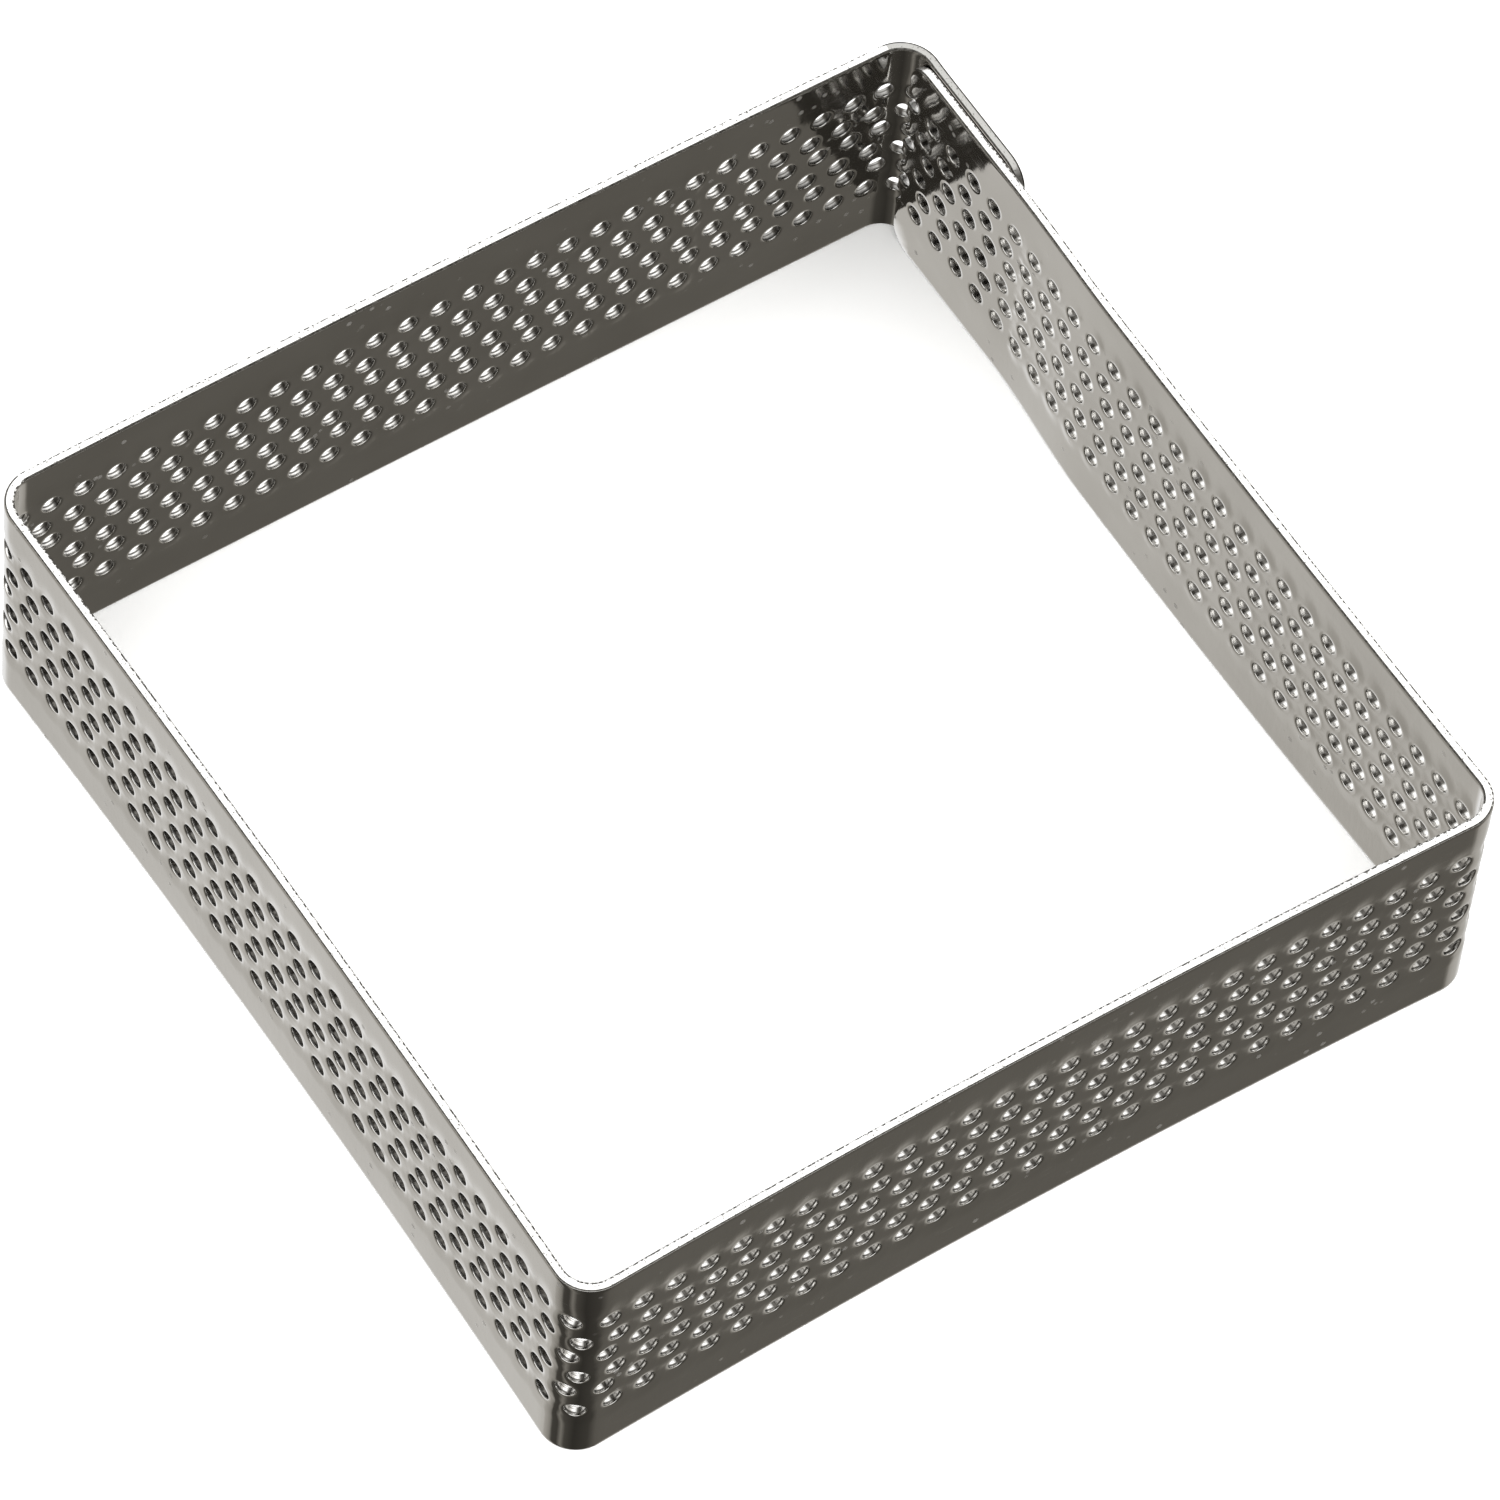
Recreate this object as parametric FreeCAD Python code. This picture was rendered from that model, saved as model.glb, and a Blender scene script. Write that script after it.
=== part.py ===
import FreeCAD, Part
import math
import os
from FreeCAD import Vector

# Square perforated cheese mold ring: one strip of perforated stainless sheet, bent at
# four corners, its outer end lapped round the rear right corner and spot welded.
# Millimetres. +Z is up, z = 0 is the resting rim. The front faces -Y.
# The origin is the middle of the footprint, lap leaf included.

# --- overall size -----------------------------------------------------------------
SIDE = 70.0            # outside width of the square, without the lap leaf
HEIGHT = 20.0          # width of the strip
SHEET = 0.7            # sheet thickness
BEND_OUTER_R = 2.8     # outside radius of the four bends

# --- lap seam ---------------------------------------------------------------------
LAP_GAP = 0.2          # air left between the two leaves of the seam
INNER_END_Y = 32.95    # where the inner leaf stops inside the rear right corner
END_CORNER_R = 1.8     # rounding of the two corners at each end of the strip

# --- perforation ------------------------------------------------------------------
HOLE_D = 1.4           # hole diameter
PITCH = 2.46           # hole spacing along the strip
STRIP_PITCHES = 116    # the strip is cut off after this many hole spacings
FIRST_HOLE = 0.5       # first hole of an odd row, measured from the inner end
TOP_ROW_Z = 15.65      # height of the top row
PAIR_PITCH = 4.2       # drop from one odd row to the next odd row
PAIR_DROP = 2.3        # drop from an odd row to the even row under it
ROW_PAIRS = 3          # odd and even rows come in pairs
STAGGER = 0.3          # even rows sit back by this share of the spacing

# --- spot welds -------------------------------------------------------------------
WELD_D = 2.2           # nugget diameter
WELD_Y = {"front": 24.6, "rear": 30.2}
WELD_Z = {"upper": 18.1, "lower": 2.3}

# --- derived ----------------------------------------------------------------------
HALF = SIDE / 2
BEND_MID_R = BEND_OUTER_R - SHEET / 2
BEND_LENGTH = BEND_MID_R * math.pi / 2
TANGENT = HALF - BEND_OUTER_R
CENTRING = (SHEET + LAP_GAP) / 2
STRIP_LENGTH = STRIP_PITCHES * PITCH
HOLE_R = HOLE_D / 2


def strip_path():
    """Middle line of the strip, clockwise from above, starting at the inner end.

    Each leg is a straight run and the bend that follows it.
    """
    first_run = INNER_END_Y + TANGENT
    side_run = 2 * TANGENT
    rear_run = side_run + SHEET + LAP_GAP
    used = first_run + 2 * side_run + rear_run + 4 * BEND_LENGTH
    runs = [
        ("right_wall", first_run),
        ("front_wall", side_run),
        ("left_wall", side_run),
        ("rear_wall", rear_run),
        ("lap_leaf", STRIP_LENGTH - used),
    ]
    point = Vector(HALF - SHEET / 2 - CENTRING, INNER_END_Y, 0)
    heading = Vector(0, -1, 0)
    travelled = 0.0
    segments = []
    for name, run in runs:
        straight = {"kind": "flat", "name": name, "start": travelled, "length": run}
        straight.update(point=point, heading=heading)
        segments.append(straight)
        point = point + heading * run
        travelled += run
        if name == "lap_leaf":
            break
        inward = Vector(heading.y, -heading.x, 0)
        bend = {"kind": "bend", "name": name, "start": travelled, "length": BEND_LENGTH}
        bend.update(centre=point + inward * BEND_MID_R, outward=inward * -1, heading=heading)
        segments.append(bend)
        point = bend["centre"] + heading * BEND_MID_R
        heading = inward
        travelled += BEND_LENGTH
    return segments


def pose(segment, along):
    """Point on the middle line and outward direction at a distance along the strip."""
    local = along - segment["start"]
    if segment["kind"] == "flat":
        heading = segment["heading"]
        return segment["point"] + heading * local, Vector(-heading.y, heading.x, 0)
    angle = local / BEND_MID_R
    if angle < 0 or angle > math.pi / 2:
        # past the tangent line the sheet is flat, so the direction stops turning
        edge = 0.0 if angle < 0 else math.pi / 2
        direction = segment["outward"] * math.cos(edge) + segment["heading"] * math.sin(edge)
        along_tangent = segment["heading"] * math.cos(edge) - segment["outward"] * math.sin(edge)
        excess = (angle - edge) * BEND_MID_R
        point = segment["centre"] + direction * BEND_MID_R + along_tangent * excess
        return point, direction
    direction = segment["outward"] * math.cos(angle) + segment["heading"] * math.sin(angle)
    return segment["centre"] + direction * BEND_MID_R, direction


def owner(segments, along):
    """Segment whose surface carries the hole axis."""
    for segment in segments:
        if along < segment["start"] + segment["length"]:
            return segment
    return segments[-1]


def flat_blank(segment):
    """Plain plate for a straight run."""
    heading = segment["heading"]
    side = Vector(-heading.y, heading.x, 0) * (SHEET / 2)
    start = segment["point"]
    finish = start + heading * segment["length"]
    corners = [start + side, finish + side, finish - side, start - side]
    outline = Part.makePolygon(corners + [corners[0]])
    return Part.Face(outline).extrude(Vector(0, 0, HEIGHT))


def bend_blank(segment):
    """Quarter of a tube for a bend."""
    centre = segment["centre"]
    outward = segment["outward"]
    heading = segment["heading"]
    middle = (outward + heading) * (1 / math.sqrt(2))
    outer_r = BEND_OUTER_R
    inner_r = BEND_OUTER_R - SHEET
    edges = [
        Part.Arc(
            centre + outward * outer_r, centre + middle * outer_r, centre + heading * outer_r
        ).toShape(),
        Part.makeLine(centre + heading * outer_r, centre + heading * inner_r),
        Part.Arc(
            centre + heading * inner_r, centre + middle * inner_r, centre + outward * inner_r
        ).toShape(),
        Part.makeLine(centre + outward * inner_r, centre + outward * outer_r),
    ]
    return Part.Face(Part.Wire(edges)).extrude(Vector(0, 0, HEIGHT))


def round_end(blank, end_y):
    """Round the upper and lower corner of a strip end lying at end_y."""
    corners = []
    for edge in blank.Edges:
        box = edge.BoundBox
        at_end = abs(box.YMin - end_y) < 1e-6 and abs(box.YMax - end_y) < 1e-6
        if at_end and box.XLength > SHEET / 2 and box.ZLength < 1e-6:
            corners.append(edge)
    return blank.makeFillet(END_CORNER_R, corners)


def hole_positions():
    """Distance along the strip and height of every hole."""
    holes = []
    for pair in range(ROW_PAIRS):
        odd_z = TOP_ROW_Z - pair * PAIR_PITCH
        for column in range(STRIP_PITCHES + 1):
            along = FIRST_HOLE + column * PITCH
            holes.append((along, odd_z))
            holes.append((along - STAGGER * PITCH, odd_z - PAIR_DROP))
    return holes


def hole_tools(segments, segment):
    """Punches that touch one segment."""
    low = segment["start"] - HOLE_R
    high = segment["start"] + segment["length"] + HOLE_R
    tools = []
    for along, z in hole_positions():
        if low < along < high:
            point, direction = pose(owner(segments, along), along)
            base = point - direction * (1.5 * SHEET) + Vector(0, 0, z)
            tools.append(Part.makeCylinder(HOLE_R, 3 * SHEET, base, direction))
    return tools


def perforated_band():
    segments = strip_path()
    pieces = []
    for segment in segments:
        blank = flat_blank(segment) if segment["kind"] == "flat" else bend_blank(segment)
        if segment is segments[0]:
            blank = round_end(blank, INNER_END_Y)
        if segment is segments[-1]:
            blank = round_end(blank, segment["point"].y - segment["length"])
        pieces.append(blank.cut(hole_tools(segments, segment)))
    return pieces[0].fuse(pieces[1:]).removeSplitter().Solids[0]


def spot_weld(y, z):
    """Nugget that bridges the air between the two leaves of the seam."""
    start = Vector(HALF - CENTRING, y, z)
    return Part.makeCylinder(WELD_D / 2, LAP_GAP, start, Vector(1, 0, 0))


parts = {"perforated_band": perforated_band()}
for level, z in WELD_Z.items():
    for place, y in WELD_Y.items():
        parts["spot_weld_" + level + "_" + place] = spot_weld(y, z)

os.makedirs("parts", exist_ok=True)
for name, shape in parts.items():
    shape.exportStep("parts/" + name + ".step")
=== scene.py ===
import bpy
import bmesh
import math
from mathutils import Matrix, Vector, noise
from mathutils.geometry import delaunay_2d_cdt


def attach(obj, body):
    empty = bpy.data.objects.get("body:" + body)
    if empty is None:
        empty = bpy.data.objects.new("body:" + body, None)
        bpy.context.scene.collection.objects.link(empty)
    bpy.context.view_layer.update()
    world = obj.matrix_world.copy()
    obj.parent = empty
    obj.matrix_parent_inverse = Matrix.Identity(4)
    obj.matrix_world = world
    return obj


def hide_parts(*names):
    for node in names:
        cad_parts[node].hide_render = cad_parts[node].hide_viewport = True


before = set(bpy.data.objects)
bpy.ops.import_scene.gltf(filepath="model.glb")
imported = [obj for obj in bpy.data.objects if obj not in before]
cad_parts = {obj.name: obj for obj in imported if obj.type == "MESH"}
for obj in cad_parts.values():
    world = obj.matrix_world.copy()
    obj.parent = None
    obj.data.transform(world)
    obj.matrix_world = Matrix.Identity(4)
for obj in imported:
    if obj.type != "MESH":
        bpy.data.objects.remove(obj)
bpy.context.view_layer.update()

# ---------------------------------------------------------------------------------
# Strip facts, in millimetres, the same as the CAD band
# ---------------------------------------------------------------------------------
HALF = 35.0
HEIGHT = 20.0
SHEET = 0.7
BEND_OUTER_R = 2.8
LAP_GAP = 0.2
INNER_END_Y = 32.95
END_CORNER_R = 1.8
HOLE_R = 0.7
PITCH = 2.46
STRIP_PITCHES = 116
FIRST_HOLE = 0.5
TOP_ROW_Z = 15.65
PAIR_PITCH = 4.2
PAIR_DROP = 2.3
ROW_PAIRS = 3
STAGGER = 0.3
WELD_Y = (24.6, 30.2)
WELD_Z = (18.1, 2.3)
MILLIMETRE = 0.001

BEND_MID_R = BEND_OUTER_R - SHEET / 2
BEND_LENGTH = BEND_MID_R * math.pi / 2
TANGENT = HALF - BEND_OUTER_R
CENTRING = (SHEET + LAP_GAP) / 2
STRIP_LENGTH = STRIP_PITCHES * PITCH

# Finer shape that only the visual model carries
RING_SIDES = 24          # sides of each hole
RING_R = 1.0             # outside of the fine collar round each hole
COLLAR_WIDTH = 0.14      # least width of that collar
COLLAR_CLEAR = 0.2       # and its distance from the end of the strip
DISH = 0.06              # how far the punched zone is pushed into the ring
DISH_NEAR = 0.85         # the dish is full this close to the middle of a hole
DISH_FAR = 1.7           # and gone this far from it
FLAT_START = 14.0        # length at the inner end that has no dish
CALM_RUN = 14.0          # length before the seam bend with less of it
CALM_SHARE = 0.4
WAVE = 0.012             # half height of the slow waves in the sheet
WAVE_ALONG = 0.09        # how fine they are along the strip
WAVE_UP = 0.13           # and up it
WAVE_SLICE = 3.7
DIMPLE_R = 1.2           # radius of a spot weld mark
DIMPLE = 0.018           # and its depth
LAP_PRESS = 0.12         # how far the lap leaf is pulled in towards the inner leaf
LAP_PRESS_RUN = 1.5      # length past the seam bend where that is complete
LAP_CLEAR_Y = 21.3       # the right wall is straight from here to the seam
LAP_FADE = 12.0          # length over which its spring comes back
# spring of each wall at its middle, at the top and at the bottom rim; outward is positive
BOW = {"left": (-0.35, -0.6), "front": (-0.65, -0.75), "rear": (0.25, 0.15), "right": (-0.3, -0.8)}
# rounded edges, each step a distance from the finished edge and a drop from the face
RIM_EDGE = ((0.13, 0.0), (0.055, 0.02), (0.018, 0.055))
LIP = ((0.07, 0.0), (0.02, 0.02), (0.0, 0.07))
HOLE_BURR = ((0.0, 0.07), (0.02, 0.02), (0.06, 0.0))
RIM_BURR = 0.03
RIM_LINE = 0.16          # width of the painted shade line down each side of the cut edge
MID_WALL = 0.24          # depth of the middle ring of a hole wall
# how closely the mesh follows the strip
RIM_STEP = {"bend": 0.16, "flat": 0.6}
FILL_STEP = {"bend": 0.2, "flat": 0.42}
CORNER_STEPS = 8
END_STEP = 0.5
END_ZONE = 2.5           # near an end, the outline is tested point by point
TIP_ROOM = 0.004         # how little a sharp tip is rounded
TIP_SLOPE = 0.3
FILL_HEIGHTS = (
    [0.35, 0.8, 1.4, 2.0, 2.5, 2.9]
    + [3.25 + 0.38 * k for k in range(37)]
    + [17.7, 18.2, 18.8, 19.3, 19.68]
)
FILL_END = 0.4           # filling points keep this far from the ends
FILL_CORNER = 2.1        # and this far from their rounded corners
FILL_CLEAR = 0.13        # and this far from a collar
CUT_HOLE_CLEAR = 0.1
SLIVER = 0.001           # triangles lower than this lie along the rim and are dropped
COLLAR_TEST = 0.992      # a triangle centred inside this share of a collar is in the hole



# ---------------------------------------------------------------------------------
# Path of the strip
# ---------------------------------------------------------------------------------
def strip_path():
    side_run = 2 * TANGENT
    rear_run = side_run + SHEET + LAP_GAP
    first_run = INNER_END_Y + TANGENT
    used = first_run + 2 * side_run + rear_run + 4 * BEND_LENGTH
    runs = (first_run, side_run, side_run, rear_run, STRIP_LENGTH - used)
    point = Vector((HALF - SHEET / 2 - CENTRING, INNER_END_Y))
    heading = Vector((0.0, -1.0))
    travelled = 0.0
    path = []
    for number, run in enumerate(runs):
        path.append(("flat", travelled, run, point.copy(), heading.copy()))
        point = point + heading * run
        travelled += run
        if number == 4:
            break
        inward = Vector((heading.y, -heading.x))
        centre = point + inward * BEND_MID_R
        path.append(("bend", travelled, BEND_LENGTH, centre, heading.copy()))
        point = centre + heading * BEND_MID_R
        heading = inward
        travelled += BEND_LENGTH
    return path


PATH = strip_path()
LAP_START = PATH[8][1]
SEAM_BEND = LAP_START - BEND_LENGTH


def smooth(t):
    """Eased step from 0 to 1."""
    t = max(0.0, min(1.0, t))
    return t * t * (3 - 2 * t)


def pose(along):
    """Plan position on the middle of the sheet and the outward direction there."""
    part = PATH[0]
    for candidate in PATH:
        if along >= candidate[1]:
            part = candidate
    kind, start, length, anchor, heading = part
    local = along - start
    if kind == "flat":
        return anchor + heading * local, Vector((-heading.y, heading.x))
    angle = local / BEND_MID_R
    outward = Vector((-heading.y, heading.x))
    direction = outward * math.cos(angle) + heading * math.sin(angle)
    return anchor + direction * BEND_MID_R, direction


def bow(point, z):
    """Slight spring of the walls away from straight, fading out at the corners."""
    x = point.x + CENTRING
    y = point.y
    level = z / HEIGHT
    across_x = max(0.0, 1 - (x / HALF) ** 2)
    across_y = max(0.0, 1 - (y / HALF) ** 2)
    across_lap = across_y * smooth((LAP_CLEAR_Y - y) / LAP_FADE)
    side_x = max(-1.0, min(1.0, x / HALF))
    side_y = max(-1.0, min(1.0, y / HALF))
    amount = {name: low + (top - low) * level for name, (top, low) in BOW.items()}
    shift = Vector((0.0, 0.0))
    if side_x < 0:
        shift.x = side_x * amount["left"] * across_y
    else:
        shift.x = side_x * amount["right"] * across_lap
    if side_y < 0:
        shift.y = side_y * amount["front"] * across_x
    else:
        shift.y = side_y * (amount["rear"] * across_x - max(BOW["rear"]))
    return point + shift


def hole_centres():
    holes = []
    for pair in range(ROW_PAIRS):
        odd_z = TOP_ROW_Z - pair * PAIR_PITCH
        for column in range(STRIP_PITCHES + 1):
            along = FIRST_HOLE + column * PITCH
            holes.append((along, odd_z))
            holes.append((along - STAGGER * PITCH, odd_z - PAIR_DROP))
    return holes


HOLES = hole_centres()
CELL = 2.5               # side of the cells that holes are looked up in
BINS = {}
for hole in HOLES:
    BINS.setdefault((int(hole[0] // CELL), int(hole[1] // CELL)), []).append(hole)


def near_holes(s, z):
    """Holes round a point of the strip, with their distance from it."""
    column = int(s // CELL)
    row = int(z // CELL)
    for i in (column - 1, column, column + 1):
        for j in (row - 1, row, row + 1):
            for hole in BINS.get((i, j), ()):
                yield hole, math.hypot(hole[0] - s, hole[1] - z)


def dish(s, z):
    """Inward displacement of the sheet round the punched holes."""
    flat = 1.0
    for hole, distance in near_holes(s, z):
        if distance < DISH_FAR:
            flat *= 1 - smooth((DISH_FAR - distance) / (DISH_FAR - DISH_NEAR))
    calm = 1.0
    if s < FLAT_START:
        calm = 0.0
    elif SEAM_BEND - CALM_RUN < s < SEAM_BEND:
        calm = CALM_SHARE
    return DISH * calm * (1 - flat)


def waviness(s, z):
    """Slow unevenness of rolled sheet, always towards the inside."""
    spot = Vector((s * WAVE_ALONG, z * WAVE_UP, WAVE_SLICE))
    return WAVE * (1 + noise.noise(spot))


def dimple(s, z, w):
    """Shallow electrode marks of the spot welds on the two outside faces of the seam."""
    depth = 0.0
    for y in WELD_Y:
        on_inner_leaf = abs(s - (INNER_END_Y - y)) < DIMPLE_R and w < 0
        on_lap_leaf = abs(s - (LAP_START + TANGENT - y)) < DIMPLE_R and w > 0
        if on_inner_leaf or on_lap_leaf:
            centre = INNER_END_Y - y if on_inner_leaf else LAP_START + TANGENT - y
            for level in WELD_Z:
                t = 1 - math.hypot(s - centre, z - level) / DIMPLE_R
                if t > 0:
                    depth = DIMPLE * smooth(t)
    return depth if w > 0 else -depth


def lap_press(s):
    """How far the lap leaf is pulled in at a length along the strip."""
    return LAP_PRESS * smooth((s - SEAM_BEND) / (BEND_LENGTH + LAP_PRESS_RUN))


def place(s, z, w):
    """Strip coordinates to the model: along, height, offset from the middle."""
    point, outward = pose(s)
    offset = w - dish(s, z) - waviness(s, z) - dimple(s, z, w) - lap_press(s)
    spot = bow(point + outward * offset, z)
    return Vector((spot.x, spot.y, z)) * MILLIMETRE



# ---------------------------------------------------------------------------------
# Flat layout of the sheet: outline, hole collars and filling points
# ---------------------------------------------------------------------------------
def end_line(s_end, sign):
    """Cut end from z = 0 to the top: rounded corners and the holes the cut runs through.

    sign is +1 at the outer end and -1 at the inner end. Points go upwards.
    """
    points = []
    r = END_CORNER_R
    for k in range(CORNER_STEPS + 1):
        a = math.pi / 2 * k / CORNER_STEPS
        points.append((s_end - sign * r * (1 - math.sin(a)), r * (1 - math.cos(a))))
    cut = [h for h in HOLES if abs(h[0] - s_end) < HOLE_R]
    for along, z in sorted(cut, key=lambda h: h[1]):
        offset = (s_end - along) * sign
        half = math.sqrt(HOLE_R ** 2 - offset ** 2)
        start = math.atan2(-half, offset)
        sweep = -(2 * math.pi + 2 * start)
        count = max(6, int(abs(sweep) / (2 * math.pi) * RING_SIDES))
        previous = points[-1][1]
        gap = z - half - previous
        steps = max(2, int(gap / END_STEP))
        points += [(s_end, previous + gap * k / steps) for k in range(1, steps)]
        for k in range(count + 1):
            a = start + sweep * k / count
            points.append((along + sign * HOLE_R * math.cos(a), z + HOLE_R * math.sin(a)))
    previous = points[-1][1]
    gap = HEIGHT - r - previous
    steps = int(gap / END_STEP)
    points += [(s_end, previous + gap * k / steps) for k in range(1, steps)]
    for k in range(CORNER_STEPS + 1):
        a = math.pi / 2 * k / CORNER_STEPS
        points.append((s_end - sign * r * (1 - math.cos(a)), HEIGHT - r * (1 - math.sin(a))))
    return points


def marks_along(steps):
    """Lengths along the strip, with one step in the bends and another in the walls."""
    marks = []
    for kind, start, length, _, _ in PATH:
        count = max(1, round(length / steps[kind]))
        marks += [start + length * k / count for k in range(count)]
    return marks


def stations():
    """Lengths along the strip for the rim, clear of the rounded corners."""
    margin = END_CORNER_R + 0.1
    return [s for s in marks_along(RIM_STEP) if margin < s < STRIP_LENGTH - margin]


def outline():
    """Closed outline, anticlockwise in the (along, height) plane."""
    bottom = [(s, 0.0) for s in stations()]
    outer = end_line(STRIP_LENGTH, 1)
    top = [(s, HEIGHT) for s in reversed(stations())]
    inner = list(reversed(end_line(0.0, -1)))
    return bottom + outer + top + inner


def unit(a, b):
    """Direction from one point to another."""
    size = math.hypot(b[0] - a[0], b[1] - a[1]) or 1.0
    return (b[0] - a[0]) / size, (b[1] - a[1]) / size


def inset(points, amount):
    """Move every outline point into the sheet, less and less towards a sharp tip."""
    moved = []
    total = len(points)
    for k, (s, z) in enumerate(points):
        back = unit(points[k - 1], points[k])
        ahead = unit(points[k], points[(k + 1) % total])
        ds = back[0] + ahead[0]
        dz = back[1] + ahead[1]
        size = math.hypot(ds, dz) or 1.0
        room = amount
        if min(s, STRIP_LENGTH - s) < END_ZONE:
            tip = min(math.hypot(s - a, z - b) for a, b in TIPS)
            room = min(amount, TIP_ROOM + TIP_SLOPE * tip)
        moved.append((s - dz / size * room, z + ds / size * room))
    return moved


def inside(point, polygon):
    """True if the point lies within the closed polygon."""
    x, y = point
    found = False
    j = len(polygon) - 1
    for i in range(len(polygon)):
        xi, yi = polygon[i]
        xj, yj = polygon[j]
        if (yi > y) != (yj > y) and x < (xj - xi) * (y - yi) / (yj - yi) + xi:
            found = not found
        j = i
    return found


def tips():
    """Sharp corners where a cut end runs through a hole."""
    points = []
    for s_end in (0.0, STRIP_LENGTH):
        for along, z in HOLES:
            if abs(along - s_end) < HOLE_R:
                half = math.sqrt(HOLE_R ** 2 - (along - s_end) ** 2)
                points += [(s_end, z - half), (s_end, z + half)]
    return points


OUTLINE = outline()
TIPS = tips()
CUT_MARGIN = HOLE_R + 0.02
WHOLE = [h for h in HOLES if CUT_MARGIN < h[0] < STRIP_LENGTH - CUT_MARGIN]
WHOLE_SET = set(WHOLE)


def collar_radius(hole):
    """Outside of the collar round a hole, smaller beside the ends of the strip."""
    room = min(hole[0], STRIP_LENGTH - hole[0]) - COLLAR_CLEAR
    return max(HOLE_R + COLLAR_WIDTH, min(RING_R, room))


def circle(hole, radius):
    turn = [2 * math.pi * k / RING_SIDES for k in range(RING_SIDES)]
    return [(hole[0] + radius * math.cos(a), hole[1] + radius * math.sin(a)) for a in turn]


def filling_points():
    """Loose points between the collars, finer in the bends and beside the punched zone."""
    points = []
    marks = [s for s in marks_along(FILL_STEP) if FILL_END < s < STRIP_LENGTH - FILL_END]
    for z in FILL_HEIGHTS:
        for s in marks:
            near_end = min(s, STRIP_LENGTH - s) < FILL_CORNER
            if near_end and min(z, HEIGHT - z) < FILL_CORNER:
                continue
            blocked = False
            for hole, distance in near_holes(s, z):
                whole = hole in WHOLE_SET
                edge = collar_radius(hole) if whole else HOLE_R + CUT_HOLE_CLEAR
                blocked = blocked or distance - edge <= FILL_CLEAR
            if not blocked:
                points.append((s, z))
    return points


# Stretches of the strip, with half a millimetre of the bends on each side
LEFT_WALL = (PATH[4][1] - 0.5, PATH[4][1] + PATH[4][2] + 0.5)
REAR_WALL = (PATH[6][1] - 0.5, PATH[6][1] + PATH[6][2] + 0.5)
FRONT_START = PATH[1][1] + BEND_LENGTH / 2
LAP_RIM_START = LAP_START - 0.9 * BEND_LENGTH

# Painted shade inside the holes
ODD_ROWS = [TOP_ROW_Z - pair * PAIR_PITCH for pair in range(ROW_PAIRS)]
SHALLOW = 0.22           # the left wall's holes are painted fully dark below this depth and lighter above it
# share of painted shade above that depth, in odd and even rows
SHALLOW_ODD = 0.35
SHALLOW_EVEN = 0.2
SEAM_SHADE = 0.75            # painted shade in the last stretch before the seam and in the lap
SEAM_SHADE_RUN = 9.0
SHADE_BAR = (-114, 26)        # direction and reach of the painted dark bar in each hole, in degrees
REAR_SHADE_BAR = (-35, 45)
SHADE_BAR_GAIN = 1.6

# Material of each face, and the steps from the front face to the back face
SHEET_FACE, RIM, HOLE_WALL, EDGE_LINE, LAP_RIM = range(5)
RIM_STEPS = (
    (*RIM_EDGE[1], SHEET_FACE),
    (*RIM_EDGE[2], SHEET_FACE),
    (0.0, RIM_LINE, EDGE_LINE),
    (0.0, SHEET - RIM_LINE, RIM),
    (RIM_BURR, SHEET - RIM_BURR, EDGE_LINE),
)
HOLE_STEPS = (
    (*LIP[0], SHEET_FACE),
    (*LIP[1], SHEET_FACE),
    (*LIP[2], SHEET_FACE),
    (0.0, MID_WALL, HOLE_WALL),
    (0.0, SHEET - HOLE_BURR[0][1], HOLE_WALL),
    (HOLE_BURR[1][0], SHEET - HOLE_BURR[1][1], SHEET_FACE),
    (HOLE_BURR[2][0], SHEET, SHEET_FACE),
)


def wall_shade(hole, drop):
    """Painted shade round a hole wall: a soft dark bar, dark holes on the left wall, darker holes
    near the seam.
    """
    s, z = hole
    if LEFT_WALL[0] < s < LEFT_WALL[1]:
        odd_row = min(abs(z - row) for row in ODD_ROWS) < 0.1
        shallow = SHALLOW_ODD if odd_row else SHALLOW_EVEN
        return [shallow if drop < SHALLOW else 1.0] * RING_SIDES
    base = SEAM_SHADE if s > REAR_WALL[1] - SEAM_SHADE_RUN else 0.0
    centre, reach = REAR_SHADE_BAR if REAR_WALL[0] < s < REAR_WALL[1] else SHADE_BAR
    shade = []
    for k in range(RING_SIDES):
        away = abs((360 * k / RING_SIDES - centre + 180) % 360 - 180)
        shade.append(max(base, min(1.0, SHADE_BAR_GAIN * (1 - away / reach))))
    return shade


def arris_shade(outer):
    """Painted shade along a rim arris: solid on one face of each wall, broken into dashes on the
    other.
    """
    shade = []
    for s, z in OUTLINE:
        solid_outside = FRONT_START < s < REAR_WALL[0]
        on_lap = s > SEAM_BEND
        shade.append(1.0 if on_lap or solid_outside == outer else 0.0)
    return shade


def in_sheet(corners, rim):
    """True for a triangle of metal: not in a hole, not outside and not a sliver."""
    heights = [corner[1] for corner in corners]
    if max(heights) - min(heights) < SLIVER:
        return False
    s = sum(corner[0] for corner in corners) / 3
    z = sum(heights) / 3
    for hole, distance in near_holes(s, z):
        whole = hole in WHOLE_SET
        if distance < (collar_radius(hole) * COLLAR_TEST if whole else HOLE_R):
            return False
    return min(s, STRIP_LENGTH - s) >= END_ZONE or inside((s, z), rim)


def flat_sheet(rim):
    """Points and triangles between the rim and the collars, and where each given point went."""
    points = list(rim)
    fixed = [(k, (k + 1) % len(rim)) for k in range(len(rim))]
    for hole in WHOLE:
        base = len(points)
        points += circle(hole, collar_radius(hole))
        fixed += [(base + k, base + (k + 1) % RING_SIDES) for k in range(RING_SIDES)]
    points += filling_points()
    result = delaunay_2d_cdt([Vector(p) for p in points], fixed, [], 0, 1e-7)
    placed, triangles, origin = result[0], result[2], result[3]
    index_of = {old: new for new, olds in enumerate(origin) for old in olds}
    keep = [tri for tri in triangles if in_sheet([placed[i] for i in tri], rim)]
    return placed, keep, index_of


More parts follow.
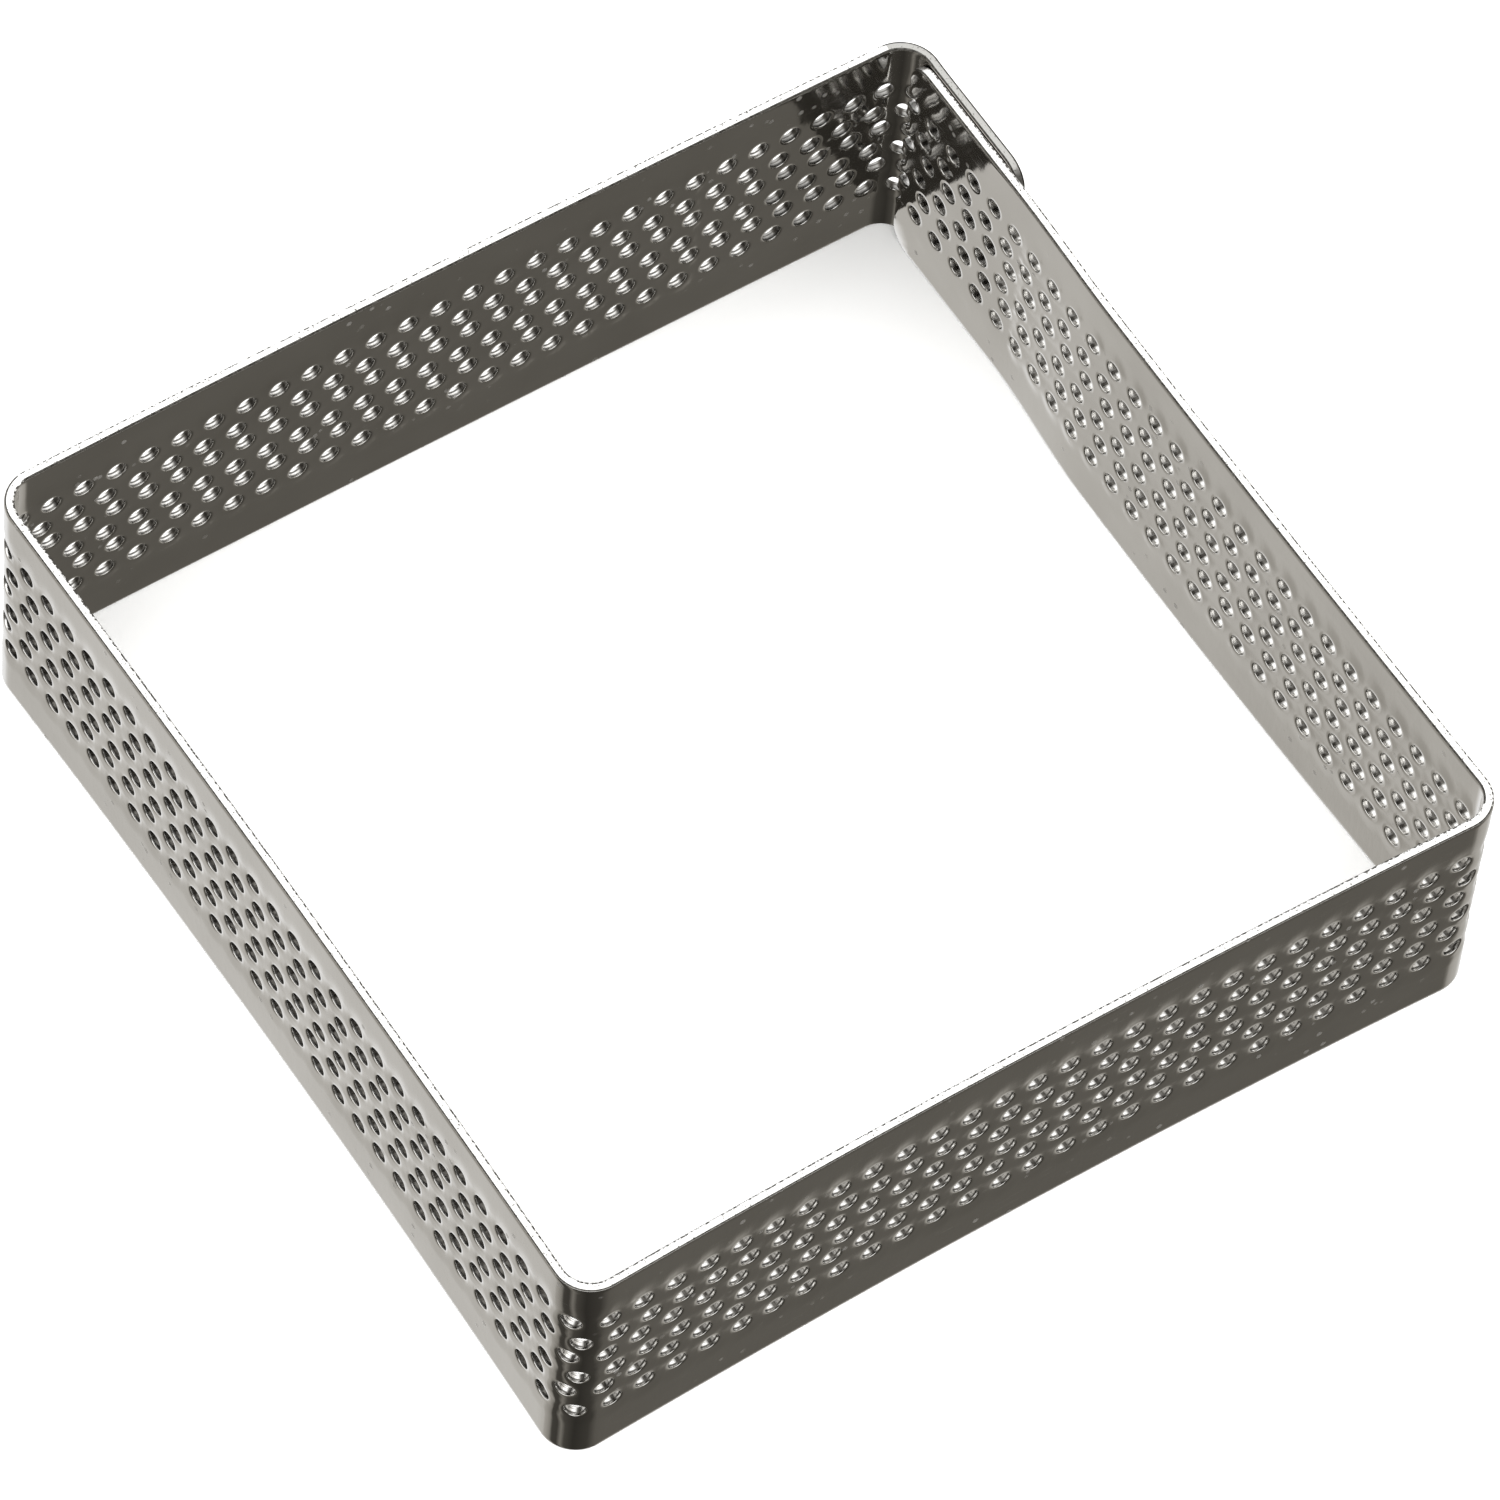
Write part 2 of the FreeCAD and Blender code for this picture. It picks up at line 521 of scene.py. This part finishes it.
def build_band():
    """The whole bent strip as one closed mesh. Its points carry their depth and their painted
    shade.
    """
    verts = []
    painted_shade = []
    depth = []
    faces = []
    slots = []
    half = SHEET / 2

    def add_loop(points, w, shade=None, lined=True):
        first = len(verts)
        for s, z in points:
            verts.append(place(s, z, w))
        painted_shade.extend(shade or [0.0] * len(points))
        depth.extend([half - w if lined else -1.0] * len(points))
        return list(range(first, first + len(points)))

    def bridge(a, b, material, flip=False):
        total = len(a)
        for k in range(total):
            m = (k + 1) % total
            quad = (a[k], a[m], b[m], b[k])
            faces.append(quad if flip else tuple(reversed(quad)))
            slots.append(material[k] if isinstance(material, list) else material)

    rim = inset(OUTLINE, RIM_EDGE[0][0])
    flat, keep, index_of = flat_sheet(rim)
    front = add_loop(flat, half)
    faces += [tuple(front[i] for i in reversed(tri)) for tri in keep]
    back = add_loop(flat, -half)
    faces += [tuple(back[i] for i in tri) for tri in keep]
    slots += [SHEET_FACE] * (2 * len(keep))

    # rim all round the strip: rounded edge, painted shade line, cut face, painted shade line, far
    # edge
    # along the lap the cut face takes the darker copy of the cut steel, painted shade
    cut_face = [LAP_RIM if s > LAP_RIM_START else RIM for s, _ in OUTLINE]
    ids = [index_of[k] for k in range(len(rim))]
    loop = [front[i] for i in ids]
    for amount, drop, slot in RIM_STEPS:
        following = add_loop(inset(OUTLINE, amount), half - drop, arris_shade(drop < half))
        bridge(loop, following, cut_face if slot == RIM else slot, True)
        loop = following
    bridge(loop, [back[i] for i in ids], SHEET_FACE, True)

    # collar, lip, wall and back edge of each hole
    for number, hole in enumerate(WHOLE):
        base = len(rim) + number * RING_SIDES
        ids = [index_of[base + k] for k in range(RING_SIDES)]
        loop = [front[i] for i in ids]
        # the right wall's holes get no lines of painted shade
        lined = hole[0] > FRONT_START
        for wider, drop, slot in HOLE_STEPS:
            ring = circle(hole, HOLE_R + wider)
            following = add_loop(ring, half - drop, wall_shade(hole, drop), lined)
            bridge(loop, following, slot)
            loop = following
        bridge(loop, [back[i] for i in ids], SHEET_FACE)

    mesh = bpy.data.meshes.new("perforated_band")
    mesh.from_pydata(verts, [], faces)
    mesh.attributes.new("painted_shade", "FLOAT", "POINT").data.foreach_set("value", painted_shade)
    mesh.attributes.new("depth", "FLOAT", "POINT").data.foreach_set("value", depth)
    for polygon, slot in zip(mesh.polygons, slots):
        polygon.material_index = slot
        polygon.use_smooth = True
    work = bmesh.new()
    work.from_mesh(mesh)
    loose = [v for v in work.verts if not v.link_faces]
    bmesh.ops.delete(work, geom=loose, context="VERTS")
    work.to_mesh(mesh)
    work.free()
    mesh.validate()
    band = bpy.data.objects.new("perforated_band_sheet", mesh)
    bpy.context.collection.objects.link(band)
    return band



# ---------------------------------------------------------------------------------
# Materials
# ---------------------------------------------------------------------------------
# soft dark lines down a hole wall, partly a burnish boundary and partly painted shade: depth in
# millimetres, darkness
BURNISH_AND_SHADE_LINES = (
    (0.17, 0.0), (0.25, 0.95), (0.32, 0.95), (0.39, 0.0), (0.5, 0.0), (0.55, 0.7), (0.6, 0.0),
)
STEEL = (0.69, 0.678, 0.655)
HAZY_STEEL = (0.62, 0.607, 0.582)
CUT_STEEL = (0.86, 0.855, 0.84)
WORN_STEEL = (0.7, 0.695, 0.68)
# a darker copy of the cut steel for the lap's cut face: painted shade
SHADED_LAP_STEEL = (0.42, 0.415, 0.4)
TORN_STEEL = (0.16, 0.155, 0.145)
BURNISHED = ((0.96, 0.95, 0.93), (0.84, 0.83, 0.81))
# dark colours of the painted shade inside the holes
WALL_SHADE = ((0.11, 0.105, 0.096), (0.04, 0.037, 0.033))
# dark colours of the painted shade line along the rim arrises
LINE_SHADE = ((0.04, 0.038, 0.034), (0.12, 0.115, 0.107))
NUGGET = ((0.5, 0.48, 0.44), (0.3, 0.27, 0.24))
FLOOR_WHITE = (0.93, 0.93, 0.92, 1)


def new_material(name):
    material = bpy.data.materials.new(name)
    material.use_nodes = True
    return material, material.node_tree.nodes, material.node_tree.links


def new_metal(name):
    material, nodes, links = new_material(name)
    shader = nodes["Principled BSDF"]
    shader.inputs["Metallic"].default_value = 1.0
    return material, nodes, links, shader


def add_relief(nodes, links, shader, relief, strength, distance):
    bump = nodes.new("ShaderNodeBump")
    bump.inputs["Strength"].default_value = strength
    bump.inputs["Distance"].default_value = distance
    links.new(relief, bump.inputs["Height"])
    links.new(bump.outputs["Normal"], shader.inputs["Normal"])


def stretched_noise(nodes, links, scale, detail, offset=0.0):
    coords = nodes.new("ShaderNodeTexCoord")
    mapping = nodes.new("ShaderNodeMapping")
    mapping.inputs["Scale"].default_value = scale
    mapping.inputs["Location"].default_value = (offset, offset, offset)
    field = nodes.new("ShaderNodeTexNoise")
    field.inputs["Scale"].default_value = 1.0
    field.inputs["Detail"].default_value = detail
    links.new(coords.outputs["Object"], mapping.inputs["Vector"])
    links.new(mapping.outputs["Vector"], field.inputs["Vector"])
    return field.outputs["Fac"]


def remap(nodes, links, value, low, high, to_low, to_high):
    node = nodes.new("ShaderNodeMapRange")
    node.inputs["From Min"].default_value = low
    node.inputs["From Max"].default_value = high
    node.inputs["To Min"].default_value = to_low
    node.inputs["To Max"].default_value = to_high
    links.new(value, node.inputs["Value"])
    return node.outputs["Result"]


def math_node(nodes, links, operation, a, b):
    node = nodes.new("ShaderNodeMath")
    node.operation = operation
    for socket, value in zip(node.inputs, (a, b)):
        if isinstance(value, float):
            socket.default_value = value
        else:
            links.new(value, socket)
    return node.outputs["Value"]


def specks(nodes, links, scale, size):
    """Sparse round specks of dust and pitting, 1 inside a speck."""
    coords = nodes.new("ShaderNodeTexCoord")
    cells = nodes.new("ShaderNodeTexVoronoi")
    cells.inputs["Scale"].default_value = scale
    links.new(coords.outputs["Object"], cells.inputs["Vector"])
    dot = remap(nodes, links, cells.outputs["Distance"], size * 0.6, size, 1.0, 0.0)
    patches = stretched_noise(nodes, links, (170, 170, 170), 2, 4.0)
    dusty = remap(nodes, links, patches, 0.48, 0.6, 0.0, 1.0)
    return math_node(nodes, links, "MULTIPLY", dot, dusty)


def mix_colour(nodes, links, factor, a, b):
    node = nodes.new("ShaderNodeMix")
    node.data_type = "RGBA"
    node.inputs["A"].default_value = (*a, 1)
    node.inputs["B"].default_value = (*b, 1)
    links.new(factor, node.inputs["Factor"])
    return node.outputs["Result"]


def polished_sheet():
    """Mirror-polished stainless: faint haze, hairline scratches and a few rough specks."""
    material, nodes, links, shader = new_metal("polished_sheet")
    haze = stretched_noise(nodes, links, (120, 120, 160), 4)
    hair_a = stretched_noise(nodes, links, (260, 260, 7000), 2, 1.0)
    hair_b = stretched_noise(nodes, links, (2600, 2600, 900), 3, 2.0)
    scratch = remap(nodes, links, hair_a, 0.64, 0.7, 0.0, 0.1)
    spots = specks(nodes, links, 760, 0.2)
    rough = remap(nodes, links, haze, 0.3, 0.7, 0.045, 0.1)
    rough = math_node(nodes, links, "ADD", rough, scratch)
    rough = math_node(nodes, links, "ADD", rough, math_node(nodes, links, "MULTIPLY", spots, 0.45))
    links.new(rough, shader.inputs["Roughness"])
    tone = remap(nodes, links, haze, 0.35, 0.7, 0.0, 1.0)
    colour = mix_colour(nodes, links, tone, STEEL, HAZY_STEEL)
    links.new(colour, shader.inputs["Base Color"])
    raised = math_node(nodes, links, "MULTIPLY", spots, 1.5)
    relief = math_node(nodes, links, "ADD", hair_b, raised)
    add_relief(nodes, links, shader, relief, 0.25, 0.00001)
    return material


def sheared_rim(name, light):
    """Cut edge: bright, a little rough, with dark flecks where the metal tore."""
    material, nodes, links, shader = new_metal(name)
    tears = stretched_noise(nodes, links, (5200, 5200, 5200), 3, 4.0)
    fleck = remap(nodes, links, tears, 0.62, 0.66, 0.0, 1.0)
    links.new(mix_colour(nodes, links, fleck, light, TORN_STEEL), shader.inputs["Base Color"])
    grain = stretched_noise(nodes, links, (5000, 5000, 5000), 3)
    links.new(remap(nodes, links, grain, 0.3, 0.7, 0.22, 0.42), shader.inputs["Roughness"])
    add_relief(nodes, links, shader, tears, 0.5, 0.00002)
    return material


def mesh_value(nodes, name):
    """A number that the mesh carries on its points."""
    node = nodes.new("ShaderNodeAttribute")
    node.attribute_name = name
    return node.outputs["Fac"]


def blend_colours(nodes, links, factor, a, b):
    node = nodes.new("ShaderNodeMix")
    node.data_type = "RGBA"
    links.new(factor, node.inputs["Factor"])
    links.new(a, node.inputs["A"])
    links.new(b, node.inputs["B"])
    return node.outputs["Result"]


def punched_wall():
    """Wall of a punched hole: bright, with dark lines that are partly burnish and partly painted
    shade, and painted shade where the mesh says so.
    """
    material, nodes, links, shader = new_metal("punched_wall")
    streak = stretched_noise(nodes, links, (3000, 3000, 3000), 3, 8.0)
    grain = remap(nodes, links, streak, 0.4, 0.65, 0.0, 1.0)
    bright = mix_colour(nodes, links, grain, *BURNISHED)
    shaded_wall = mix_colour(nodes, links, grain, *WALL_SHADE)
    wander = math_node(nodes, links, "MULTIPLY", streak, 0.06)
    level = math_node(nodes, links, "ADD", mesh_value(nodes, "depth"), wander)
    lines = nodes.new("ShaderNodeValToRGB")
    lines.color_ramp.interpolation = "EASE"
    lines.color_ramp.elements[0].position = BURNISH_AND_SHADE_LINES[0][0]
    lines.color_ramp.elements[1].position = BURNISH_AND_SHADE_LINES[-1][0]
    for position, _ in BURNISH_AND_SHADE_LINES[1:-1]:
        lines.color_ramp.elements.new(position)
    for element, (_, value) in zip(lines.color_ramp.elements, BURNISH_AND_SHADE_LINES):
        element.color = (value, value, value, 1.0)
    links.new(level, lines.inputs["Fac"])
    painted_shade = math_node(nodes, links, "MAXIMUM", mesh_value(nodes, "painted_shade"), lines.outputs["Color"])
    links.new(blend_colours(nodes, links, painted_shade, bright, shaded_wall), shader.inputs["Base Color"])
    links.new(remap(nodes, links, streak, 0.3, 0.7, 0.16, 0.3), shader.inputs["Roughness"])
    return material


def edge_line():
    """Painted shade along both arrises of the cut edge, broken by bright metal in dashes."""
    material, nodes, links, shader = new_metal("edge_line")
    streak = stretched_noise(nodes, links, (3800, 3800, 3800), 3, 5.0)
    dashes = remap(nodes, links, streak, 0.47, 0.52, 0.0, 1.0)
    shade_line = math_node(nodes, links, "MAXIMUM", mesh_value(nodes, "painted_shade"), dashes)
    grain = remap(nodes, links, streak, 0.4, 0.65, 0.0, 1.0)
    dark = mix_colour(nodes, links, grain, *LINE_SHADE)
    worn = mix_colour(nodes, links, grain, CUT_STEEL, WORN_STEEL)
    links.new(blend_colours(nodes, links, shade_line, worn, dark), shader.inputs["Base Color"])
    links.new(remap(nodes, links, streak, 0.3, 0.7, 0.3, 0.42), shader.inputs["Roughness"])
    return material


def weld_metal():
    """Dull grey nugget with a fine frozen ripple."""
    material, nodes, links, shader = new_metal("weld_metal")
    ripple = stretched_noise(nodes, links, (2500, 2500, 2500), 4, 3.0)
    links.new(mix_colour(nodes, links, ripple, *NUGGET), shader.inputs["Base Color"])
    links.new(remap(nodes, links, ripple, 0.3, 0.7, 0.35, 0.6), shader.inputs["Roughness"])
    add_relief(nodes, links, shader, ripple, 0.6, 0.00003)
    return material


band = build_band()
for material in (
    polished_sheet(),
    sheared_rim("sheared_rim", CUT_STEEL),
    punched_wall(),
    edge_line(),
    sheared_rim("lap_rim", SHADED_LAP_STEEL),
):
    band.data.materials.append(material)
weld_steel = weld_metal()
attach(band, "root")
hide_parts("perforated_band")

for name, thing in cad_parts.items():
    if name.startswith("spot_weld"):
        thing.data.materials.clear()
        thing.data.materials.append(weld_steel)

# ---------------------------------------------------------------------------------
# Floor, light and camera
# ---------------------------------------------------------------------------------
FLOOR_HALF = 3.0
floor_mesh = bpy.data.meshes.new("floor")
square = ((-1, -1), (1, -1), (1, 1), (-1, 1))
floor_corners = [(x * FLOOR_HALF, y * FLOOR_HALF, 0) for x, y in square]
floor_mesh.from_pydata(floor_corners, [], [(0, 1, 2, 3)])
floor = bpy.data.objects.new("floor", floor_mesh)
bpy.context.collection.objects.link(floor)
pale, nodes, links = new_material("pale_floor")
nodes["Principled BSDF"].inputs["Base Color"].default_value = FLOOR_WHITE
nodes["Principled BSDF"].inputs["Roughness"].default_value = 0.9
floor_mesh.materials.append(pale)
floor.visible_glossy = False


# brightness of the room round the compass, in degrees anticlockwise from +X
ROOM = (
    (0, 0.55), (25, 0.85), (50, 1.05), (105, 1.0), (119, 0.74), (127, 0.61), (136, 0.6),
    (142, 0.46), (150, 0.4), (160, 0.3), (168, 0.07), (185, 0.06), (197, 0.24), (208, 0.08),
    (235, 0.04), (275, 0.06), (297, 0.13), (313, 0.14), (319, 0.22), (327, 0.42), (340, 0.5),
    (360, 0.55),
)
SOFTBOX = (1.6, 1.6, 1.58, 1)
SOFTBOX_EDGE = (0.62, 0.8)      # upward part of the direction where the softbox begins and is full
WHITE_ROOM = (2.3, 2.3, 2.3, 1)
CEILING_LIFT = 1.6              # the room is this much brighter high up than low down
WARMTH = 0.2                    # how much warmer its dark parts are


def studio_world():
    """Plain white for the camera and diffuse light, a room with dark sides in reflections."""
    world = bpy.data.worlds.new("studio")
    bpy.context.scene.world = world
    world.use_nodes = True
    nodes, links = world.node_tree.nodes, world.node_tree.links
    background = nodes["Background"]
    coords = nodes.new("ShaderNodeTexCoord")
    axes = nodes.new("ShaderNodeSeparateXYZ")
    links.new(coords.outputs["Generated"], axes.inputs["Vector"])
    angle = math_node(nodes, links, "ARCTAN2", axes.outputs["Y"], axes.outputs["X"])
    turns = math_node(nodes, links, "DIVIDE", angle, 2 * math.pi)
    turns = math_node(nodes, links, "FRACT", math_node(nodes, links, "ADD", turns, 1.0), 0.0)
    ramp = nodes.new("ShaderNodeValToRGB")
    ramp.color_ramp.interpolation = "LINEAR"
    for degrees, level in ROOM[1:-1]:
        ramp.color_ramp.elements.new(degrees / 360)
    for element, (degrees, level) in zip(ramp.color_ramp.elements, ROOM):
        element.position = degrees / 360
        warmth = WARMTH * (1 - min(level, 1.0))
        element.color = (level, level * (1 - warmth * 0.35), level * (1 - warmth), 1)
    links.new(turns, ramp.inputs["Fac"])
    height = remap(nodes, links, axes.outputs["Z"], 0.1, 0.8, 1.0, CEILING_LIFT)
    lifted = nodes.new("ShaderNodeVectorMath")
    lifted.operation = "SCALE"
    links.new(ramp.outputs["Color"], lifted.inputs["Vector"])
    links.new(height, lifted.inputs["Scale"])
    overhead = remap(nodes, links, axes.outputs["Z"], *SOFTBOX_EDGE, 0.0, 1.0)
    softbox = nodes.new("ShaderNodeMix")
    softbox.data_type = "RGBA"
    softbox.inputs["B"].default_value = SOFTBOX
    links.new(overhead, softbox.inputs["Factor"])
    links.new(lifted.outputs["Vector"], softbox.inputs["A"])
    path = nodes.new("ShaderNodeLightPath")
    choose = nodes.new("ShaderNodeMix")
    choose.data_type = "RGBA"
    choose.inputs["A"].default_value = WHITE_ROOM
    links.new(path.outputs["Is Glossy Ray"], choose.inputs["Factor"])
    links.new(softbox.outputs["Result"], choose.inputs["B"])
    links.new(choose.outputs["Result"], background.inputs["Color"])
    background.inputs["Strength"].default_value = 1.0


studio_world()

LENS = 285.25
EYE = Vector((-0.25428, -0.32152, 0.65046))
TARGET = Vector((-0.00045, -0.00162, 0.010))
ROLL = math.radians(6.41)

camera_data = bpy.data.cameras.new("camera")
camera = bpy.data.objects.new("camera", camera_data)
bpy.context.collection.objects.link(camera)
camera_data.sensor_width = 36.0
camera_data.lens = LENS
forward = (TARGET - EYE).normalized()
level = forward.cross(Vector((0, 0, 1))).normalized()
upright = level.cross(forward)
right = level * math.cos(ROLL) + upright * math.sin(ROLL)
up = upright * math.cos(ROLL) - level * math.sin(ROLL)
turn = Matrix((right, up, -forward)).transposed().to_4x4()
camera.matrix_world = Matrix.Translation(EYE) @ turn
camera_data.clip_start = 0.01
camera_data.clip_end = 50
bpy.context.scene.camera = camera
bpy.context.scene.view_settings.view_transform = "Standard"
